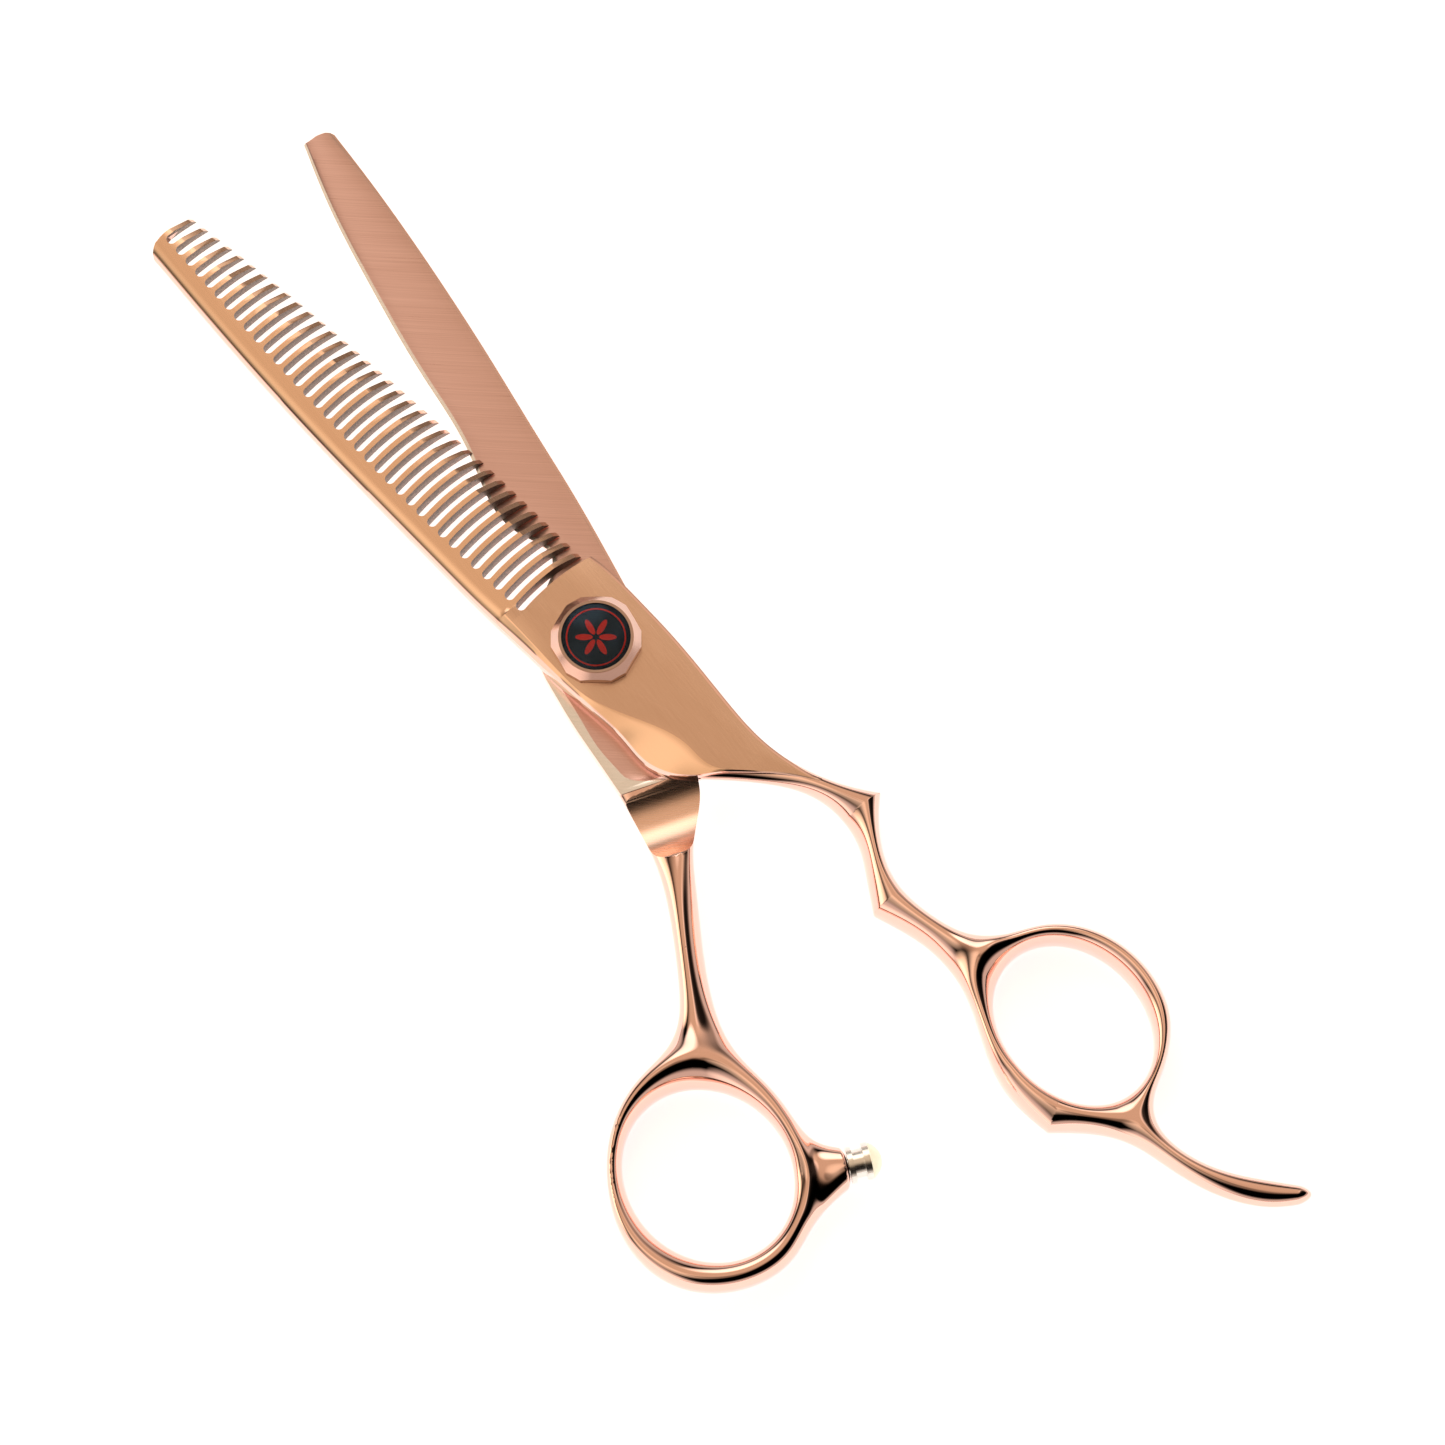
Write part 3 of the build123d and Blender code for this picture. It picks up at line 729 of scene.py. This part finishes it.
def comb_ring(y):
    """Cross-section of the comb blade at one y, as (x, y, z) points."""
    top = COMB_TOP - TIP_TAPER * ease_line(y, 12, 70) - PLATE_DIP * float(ease(-y, 22, 28.5))
    out, spine = float(comb_out_line(y)), float(spine_line(y))
    if y < -15:
        out = max(out, float(ledge_line(y)))
        spine = max(spine, out + 0.25)
    if y < PLATE_END:
        crease = max(float(crease_line(y)), spine + 0.15)
        right = max(float(comb_right_line(y)), crease + 0.04)
        drop = BEVEL_SLOPE * float(ease(crease - spine, 0.0, 4.0)) * (crease - spine)
        side_top = top - 0.1 - max(drop, PLATE_DIP * float(ease(y, 0, PLATE_END)))
        bevel = [(spine + (crease - spine) * t, side_top + (top - side_top) * t) for t in (0.25, 0.5, 0.75)]
        flat = [(crease + (right - crease) * t, top) for t in (0, 1 / 3, 2 / 3, 1)]
        front = [(right + 0.36, top - 0.13), (right + 0.47, top - 1.2), (right + 0.4, COMB_LOW)]
    else:
        share = ease_line(y, PLATE_END, 70)
        side_top = top - 0.34
        root, facet = float(root_line(y)) + 0.2, float(facet_line(y))
        bevel = [(spine + 0.4, top - 0.2), (spine + 0.8, top - 0.11), (spine + 1.25, top - 0.05)]
        flat = [((spine + 1.25 + root) / 2, top - 0.02), (root, top), ((root + facet) / 2, top - 0.03),
                (facet, top - 0.1)]
        tip = float(tip_line(y))
        front = [(float(front_tip_line(y)), 4.85 - 0.45 * share), (tip - 0.1, 3.75), (tip, COMB_LOW)]
    side = [(out + 0.22, COMB_LOW), (out + 0.04, COMB_LOW + 0.3), (out, COMB_LOW + 0.9),
            (out + 0.06, side_top - 0.5), (spine - 0.14, side_top - 0.12), (spine, side_top)]
    last = front[-1][0]
    under = [(last + (out + 0.22 - last) * t, COMB_LOW) for t in (0.2, 0.4, 0.6, 0.8, 0.92)]
    points = []
    for x, z in side + bevel + flat + front + under:
        end = np.interp(x, *zip(*TIP_OUTLINE))
        bend = (end - COMB_TIP) * max(0.0, (y - COMB_TIP) / 5.0 + 1) ** 2
        points.append((x, y + bend, z))
    return points


def slot_outline(number):
    """Plan of one slot: round root, bowed sides. It rises less and less towards the tip."""
    y = FIRST_SLOT_Y - number * SLOT_PITCH
    rise = 0.215 - 0.000048 * (y - PLATE_END) ** 2
    half = SLOT_WIDTH / 2
    start = float(root_line(y)) + half
    length = float(tip_line(y)) + SLOT_OVERRUN - start
    upper, lower = [], []
    for t in np.linspace(0, length, 13):
        slope = rise - t / TOOTH_RADIUS
        centre = np.array([start + t, y + rise * t - t * t / (2 * TOOTH_RADIUS)])
        across = np.array([-slope, 1.0]) / math.hypot(slope, 1.0) * half
        upper.append(centre + across)
        lower.append(centre - across)
    turn = math.atan(rise)
    arc = [(start + half * math.cos(a), y + half * math.sin(a))
           for a in np.linspace(turn + math.pi / 2, turn + 3 * math.pi / 2, 13)[1:-1]]
    return [tuple(p) for p in upper[::-1]] + arc + [tuple(p) for p in lower]


def slot_cutter(material):
    """All 35 slots as one cutter."""
    points, faces = [], []
    for number in range(SLOTS):
        outline = slot_outline(number)
        base, count = len(points), len(outline)
        points += [(x, y, z) for z in (COMB_LOW - 1, COMB_TOP + 1) for x, y in outline]
        faces.append(tuple(base + k for k in range(count))[::-1])
        faces.append(tuple(base + count + k for k in range(count)))
        faces += band(base, base + count, count)
    mesh = build_mesh("slot_cutter", points, faces, smooth=False)
    fix_normals(mesh)
    return add_object("slot_cutter", mesh, [material])


def comb_blade(satin, polished, fine, wall):
    """Comb blade with its plate."""
    ys = (list(np.arange(-28.35, -14, 0.35)) + list(np.arange(-14, 8.9, 0.7)) + [8.95, 9.05]
          + list(np.arange(9.6, 64.9, 1.0)) + list(np.linspace(65, COMB_TIP, 12)))

    def pick(row, strip):
        """Slot of a face: the sides and the underside are polished, the bevels fine, the top satin."""
        on_plate = ys[row] < PLATE_END
        if strip < 5 or strip > 14:
            return 1
        if strip < 9 or (strip < 12 and not on_plate):
            return 2
        return 0 if strip < 12 or not on_plate else 1

    mesh = loft_rings("comb_blade_body", [comb_ring(float(y)) for y in ys], pick)
    piece = add_object("comb_blade_body", mesh, [satin, polished, fine])
    cut(piece, slot_cutter(wall))
    sharpen(piece.data, 24)
    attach(piece, "still_half")
    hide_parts("comb_blade")


# ---------------------------------------------------------------- plain blade

PLAIN_TIP = 69.3         # last section of the plain blade, before its end is rounded
HEEL_END = -15.3         # the plain blade ends here, on the left
HEEL_SLANT = -0.3375     # slope of the sections at the heel, straight across past the pivot
HOLLOW = 0.22            # depth of the hollow-ground face
OUTER_TAPER = 1.0        # the blade is this much thinner at its tip

plain_left = track([(-15.3, -8.4), (-10, -8.0), (-5, -7.6), (-1, -7.05), (2, -6.5), (4.4, -5.6), (6.6, -4.2),
                    (7.9, -2.6), (8.8, -1.0), (9.5, 0.4), (16, 1.4), (27.2, 2.6), (38, 4.1), (50.8, 6.0),
                    (61.4, 8.1), (69.3, 10.35)], blur=0.5)
plain_right = track([(-21, 0.0), (-18, 1.2), (-15, 3.2), (-8, 5.9), (-2, 6.3), (5, 7.3), (15.9, 9.1),
                     (25, 10.25), (34.6, 11.5), (49, 13.0), (63.5, 13.85), (69.3, 13.95)], blur=1.0)
band_width = track([(-15.3, 4.6), (-14.9, 3.6), (-14.3, 2.2), (-13, 1.35), (-10, 0.95), (-5, 1.1), (0, 0.9),
                    (10, 0.5), (30, 0.42), (69, 0.32)], blur=0.3)
PLAIN_OUTLINE = ((10.0, 69.1), (10.6, 69.35), (12.4, 69.4), (13.4, 69.0), (13.9, 68.3), (14.0, 67.9))


def plain_ring(y):
    """Cross-section of the plain blade, slanted towards the heel."""
    tilt = HEEL_SLANT * float(ease(-y, 5, 15))
    left = float(plain_left(y))
    right_y = y
    for _ in range(6):
        right_y = y + tilt * (float(plain_right(right_y)) - left)
    right = float(plain_right(right_y))
    width = right - left
    strip = min(float(band_width(y)), 0.6 * width)
    hollow = HOLLOW * float(ease(y, HEEL_END, -14.0))
    back = PLAIN_LOW + OUTER_TAPER * ease_line(y, 12, 70)
    thin = float(ease(y, 6, 16))
    top = [(left, PLAIN_TOP), (left + strip, PLAIN_TOP)]
    inner = right - 0.25
    for t in (0.04, 0.15, 0.3, 0.5, 0.7, 0.85, 0.96):
        dip = hollow * (1 - (2 * t - 1) ** 2) ** 0.6
        top.append((left + strip + (inner - left - strip) * t, PLAIN_TOP - dip))
    top += [(inner, PLAIN_TOP - 0.01), (right, PLAIN_TOP - 0.09)]
    belly = [(right, back + 0.35), (right - 0.35, back)]
    under = []
    for t in (0.7, 0.5, 0.35, 0.2, 0.08):
        sharp = PLAIN_TOP - 0.32 - (PLAIN_TOP - 0.32 - back) * (1 - (1 - t) ** 2.2)
        under.append((left + width * t, back * (1 - thin) + sharp * thin))
    under.append((left, (back + 0.1) * (1 - thin) + (PLAIN_TOP - 0.06) * thin))
    points = []
    for x, z in top + belly + under:
        end = np.interp(x, *zip(*PLAIN_OUTLINE))
        bend = (end - PLAIN_TIP) * max(0.0, (y - PLAIN_TIP) / 5.0 + 1) ** 3
        points.append((x, y + tilt * (x - left) + bend, z))
    return points


def plain_blade(brush, honed, polished):
    """Plain blade: honed strip, hollow-ground face, polished back."""
    ys = (list(np.linspace(HEEL_END, -14.0, 9)) + list(np.arange(-13.5, 2, 0.6))
          + list(np.arange(2.2, 10, 0.4)) + list(np.arange(10.5, 64, 1.2))
          + list(np.linspace(64.3, PLAIN_TIP, 12)))
    heel_rows, face_strips = 3, 9

    def pick(row, strip):
        """Slot of a face: the left strip and the heel are honed, the hollow brushed."""
        if strip >= face_strips:
            return 2
        return 1 if row < heel_rows or strip == 0 else 0

    mesh = loft_rings("plain_blade_body", [plain_ring(float(y)) for y in ys], pick)
    piece = add_object("plain_blade_body", mesh, [brush, honed, polished])
    sharpen(mesh, 16)
    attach(piece, "thumb_half")
    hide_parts("plain_blade")


# ---------------------------------------------------------------- dial and bumper


def dress(node, material, bevel=0.0):
    """Give a CAD node its material, and rounded edges if asked."""
    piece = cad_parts[node]
    piece.data.materials.clear()
    piece.data.materials.append(material)
    if bevel:
        tool = piece.modifiers.new("edges", "BEVEL")
        tool.width = bevel * MM
        tool.segments = 3
        tool.limit_method = "ANGLE"
        tool.angle_limit = math.radians(25)
        tool.harden_normals = True


def spring(material):
    """Curved spring washer under the dial; the mesh keeps one curved shape and doesn't flatten."""
    low, high = level("spring_washer", 0), level("spring_washer", 1)
    outer, inner, sheet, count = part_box("spring_washer")[1].x / MM, 2.5, 0.15, 96
    points = []
    for radius, lift in ((inner, 0), (outer, 0), (outer, sheet), (inner, sheet)):
        for x, y, z in circle(radius, low + lift, count):
            points.append((x, y, z + (high - low - sheet) * (1 - (x / outer) ** 2)))
    faces = []
    for i in range(4):
        faces += band(i * count, (i + 1) % 4 * count, count)
    mesh = build_mesh("spring_curved", points, faces)
    fix_normals(mesh)
    sharpen(mesh, 40)
    piece = add_object("spring_curved", mesh, [material])
    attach(piece, "thumb_half")
    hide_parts("spring_washer")
    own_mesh(piece)


def dial_cover(material):
    """Clear dome over the enamel, with a hair of air below it."""
    low, high, rim = level("dial_lens", 0), level("dial_lens", 1), level("dial_bezel", 1)
    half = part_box("dial_lens")[1].x / MM - 0.02
    profile = [(half * t, low + 0.05) for t in (0.5, 1)] + [(half, rim - 0.05)]
    profile += [(half * t, rim - 0.02 + (high - rim) * (1 - t * t)) for t in np.linspace(0.97, 0.06, 14)]
    mesh = loft_rings("dial_cover", [circle(radius, z) for radius, z in profile])
    sharpen(mesh, 40)
    piece = add_object("dial_cover", mesh, [material])
    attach(piece, "dial")
    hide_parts("dial_lens")


def dial_motif(red):
    """Red ring and a plain six-petal rosette on the enamel."""
    z = level("dial_disc", 1) + 0.02
    points = circle(3.42, z) + circle(3.24, z)
    faces = band(0, len(points) // 2, len(points) // 2)
    for petal in range(6):
        spin = math.radians(60 * petal + 22)
        faces.append(tuple(range(len(points), len(points) + 32)))
        for x, y, _ in circle(1.0, z, 32):
            along, wide = 1.35 - x, 0.36 * y
            points.append((along * math.cos(spin) - wide * math.sin(spin),
                           along * math.sin(spin) + wide * math.cos(spin), z))
    mesh = build_mesh("dial_motif", points, faces, smooth=False)
    fix_normals(mesh)
    piece = add_object("dial_motif", mesh, [red])
    thick = piece.modifiers.new("thick", "SOLIDIFY")
    thick.thickness = 0.02 * MM
    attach(piece, "dial")


# ---------------------------------------------------------------- stage


CAMERA = Vector((-98.2, -148.9, 634.05))
TARGET = Vector((5.41, -16.33, 6.2))
PICTURE_UP = Vector((0.595, 0.761, 0.259))


def picture_axes():
    """The picture's right and up and the camera's view direction, in the frame."""
    view = (TARGET - CAMERA).normalized()
    up = (PICTURE_UP - view * PICTURE_UP.dot(view)).normalized()
    return view.cross(up), up, view


# Soft lamps and dark gaps of the studio: aim, inner and outer degrees, colour or depth. An aim is
# how far it points to the picture's right, to its top and to the ceiling.
LAMPS = (
    ((0.0, 0.25, 1.0), 8, 47, (0.70, 0.50, 0.34)),
    ((-0.25, 0.95, 0.95), 9, 24, (1.5, 1.38, 1.22)),
    ((-0.45, -0.3, 1.0), 6, 28, (0.58, 0.48, 0.36)),
    ((-1.0, 0.1, 0.32), 8, 28, (1.7, 1.36, 0.98)),
    ((0.5, 0.2, 1.0), 4, 17, (0.62, 0.52, 0.46)),
    ((0.79, 0.6, 0.75), 8, 34, (0.36, 0.28, 0.22)),
    ((-0.78, -0.85, 0.28), 8, 34, (0.75, 0.62, 0.54)),
    ((0.0, 0.0, -1.0), 100, 116, (0.66, 0.54, 0.47)),
)
GAPS = (
    ((0.98, 0.05, 0.93), 20, 33, 0.97),
    ((0.72, -0.7, 0.93), 20, 33, 0.97),
    ((0.0, 0.0, -1.0), 84, 89, 1.0),
    ((0.0, -0.26, 0.97), 2, 9, 0.5),
)


def make_camera():
    """Camera at the photograph's viewing angle."""
    right, up, view = picture_axes()
    data = bpy.data.cameras.new("camera")
    data.sensor_width = 36.0
    data.lens = 143.3
    data.clip_start = 0.01
    data.clip_end = 20.0
    camera = bpy.data.objects.new("camera", data)
    bpy.context.scene.collection.objects.link(camera)
    turn = Matrix((right, up, -view)).transposed()
    camera.matrix_world = Matrix.Translation(CAMERA * MM) @ turn.to_4x4()
    bpy.context.scene.camera = camera


def studio_aim(right, up, rise):
    """A direction towards the picture's right, its top and the ceiling."""
    side, top, _ = picture_axes()
    flat_side = Vector((side.x, side.y, 0)).normalized()
    flat_top = Vector((top.x, top.y, 0)).normalized()
    return (flat_side * right + flat_top * up + Vector((0, 0, rise))).normalized()


def glow(tree, ray, aim, inner, outer):
    """1 within inner degrees of a direction, falling smoothly to 0 at outer degrees."""
    facing = tree.nodes.new("ShaderNodeVectorMath")
    facing.operation = "DOT_PRODUCT"
    tree.links.new(ray, facing.inputs[0])
    facing.inputs[1].default_value = studio_aim(*aim)
    fall = tree.nodes.new("ShaderNodeMapRange")
    fall.interpolation_type = "SMOOTHSTEP"
    fall.inputs["From Min"].default_value = math.cos(math.radians(outer))
    fall.inputs["From Max"].default_value = math.cos(math.radians(inner))
    tree.links.new(facing.outputs["Value"], fall.inputs["Value"])
    return fall.outputs["Result"]


def scaled(tree, vector, factor):
    """A colour, or another node's colour, multiplied by a factor from a node."""
    node = tree.nodes.new("ShaderNodeVectorMath")
    node.operation = "SCALE"
    if isinstance(vector, tuple):
        node.inputs[0].default_value = vector
    else:
        tree.links.new(vector, node.inputs[0])
    tree.links.new(factor, node.inputs["Scale"])
    return node.outputs["Vector"]


def make_studio():
    """Soft light, warm overhead, with dark gaps that give the metal its bands; a plain pale backdrop."""
    world = bpy.data.worlds.new("studio")
    bpy.context.scene.world = world
    world.use_nodes = True
    tree = world.node_tree
    ray = tree.nodes.new("ShaderNodeTexCoord").outputs["Generated"]
    total = None
    for aim, inner, outer, colour in LAMPS:
        part = scaled(tree, colour, glow(tree, ray, aim, inner, outer))
        if total:
            node = tree.nodes.new("ShaderNodeVectorMath")
            tree.links.new(total, node.inputs[0])
            tree.links.new(part, node.inputs[1])
            part = node.outputs["Vector"]
        total = part
    for aim, inner, outer, depth in GAPS:
        total = scaled(tree, total, scale_range(tree, glow(tree, ray, aim, inner, outer), 1.0, 1.0 - depth))
    backdrop = tree.nodes.new("ShaderNodeMix")
    backdrop.data_type = "RGBA"
    tree.links.new(tree.nodes.new("ShaderNodeLightPath").outputs["Is Camera Ray"], backdrop.inputs["Factor"])
    tree.links.new(total, backdrop.inputs[6])
    backdrop.inputs[7].default_value = (0.9, 0.9, 0.9, 1.0)
    tree.links.new(backdrop.outputs[2], tree.nodes["Background"].inputs["Color"])


def make_stage():
    """Pale floor, studio light and view settings."""
    half = 1500
    corners = [(-half, -half, 0), (half, -half, 0), (half, half, 0), (-half, half, 0)]
    mesh = build_mesh("floor", corners, [(0, 1, 2, 3)], smooth=False)
    floor_material, _, shader = node_material("floor")
    shader.inputs["Base Color"].default_value = (0.94, 0.94, 0.94, 1)
    shader.inputs["Roughness"].default_value = 0.9
    shader.inputs["Emission Color"].default_value = (1.0, 1.0, 1.0, 1)
    shader.inputs["Emission Strength"].default_value = 0.76
    floor = add_object("floor", mesh, [floor_material])
    make_studio()
    bpy.context.scene.view_settings.view_transform = "Standard"


# ---------------------------------------------------------------- assembly


def main():
    """Build every piece and the stage."""
    along, across = (7000, 300, 300), (60, 9000, 400)
    grinding = 41            # direction of the grinding marks on the plain blade, degrees
    polished = polished_rose()
    satin = brushed("rose_gold_satin", (0.80, 0.56, 0.42), (0.76, 0.52, 0.385), along, 0.24, 0.06)
    fine = brushed("rose_gold_fine", (1.0, 0.70, 0.51), (0.97, 0.67, 0.48), (5000, 100, 300), 0.13, 0.02)
    brush = brushed("rose_gold_brushed", (0.82, 0.56, 0.51), (0.68, 0.44, 0.395), across, 0.3, 0.15, grinding)
    ground = brushed("rose_gold_ground", (1.0, 0.72, 0.59), (0.93, 0.63, 0.50), across, 0.27, 0.15, grinding)
    honed = brushed("honed_steel", (1.0, 1.0, 1.0), (0.93, 0.95, 0.96), (60, 7000, 400), 0.2, 0.08, grinding)
    wall = simple("slot_wall", (0.46, 0.37, 0.32), 0.5, 1.0, grain=6000.0, amount=0.7)
    steel = simple("steel_bright", (0.96, 0.95, 0.91), 0.24, 1.0)
    rim = simple("steel_rim", (0.6, 0.45, 0.4), 0.12, 1.0)
    # Painted shade: the nut's rose gold is darker than the polished rose gold, standing in for the shade and
    # darker reflections that fall on the nut
    nut_painted_shade = simple("rose_gold_nut_painted_shade", (0.76, 0.51, 0.43), 0.14, 1.0, amount=0.06)
    spring_steel = simple("spring_steel", (0.5, 0.5, 0.5), 0.3, 1.0)
    plastic = simple("bearing_plastic", (0.85, 0.84, 0.8), 0.45, 0.0)
    dull = [("Specular IOR Level", 0.1)]
    enamel = simple("enamel_black", (0.005, 0.014, 0.028), 0.12, 0.0, extra=dull)
    red = simple("enamel_red", (0.95, 0.03, 0.012), 0.3, 0.0, amount=0.05, extra=dull)
    # The glow stands for the light that comes through the soft pad
    glowing = [("Emission Color", (1.0, 0.94, 0.75, 1.0)), ("Emission Strength", 0.35)]
    lit = [("Transmission Weight", 0.3)] + glowing
    pad = simple("pad_cream", (1.0, 0.98, 0.84), 0.4, 0.0, amount=0.02, extra=lit)
    finger_handle(polished)
    thumb_handle(polished, ground)
    comb_blade(satin, polished, fine, wall)
    plain_blade(brush, honed, polished)
    dressed = (
        (polished, 0.08, ("pivot_bolt",)),
        (nut_painted_shade, 0.08, ("dial_nut",)),
        (rim, 0.06, ("dial_bezel",)),
        (steel, 0.06, ("bumper_stud", "bumper_collar")),
        (steel, 0.0, ("pressure_washer", "detent_ball")),
        (spring_steel, 0.0, ("click_plate",)),
        (plastic, 0.0, ("pivot_bushing", "glide_washer")),
        (enamel, 0.0, ("dial_disc",)),
        (pad, 0.1, ("bumper_pad",)),
    )
    for material, bevel, nodes in dressed:
        for node in nodes:
            dress(node, material, bevel)
    spring(spring_steel)
    dial_cover(clear_dome())
    dial_motif(red)
    make_camera()
    make_stage()


main()
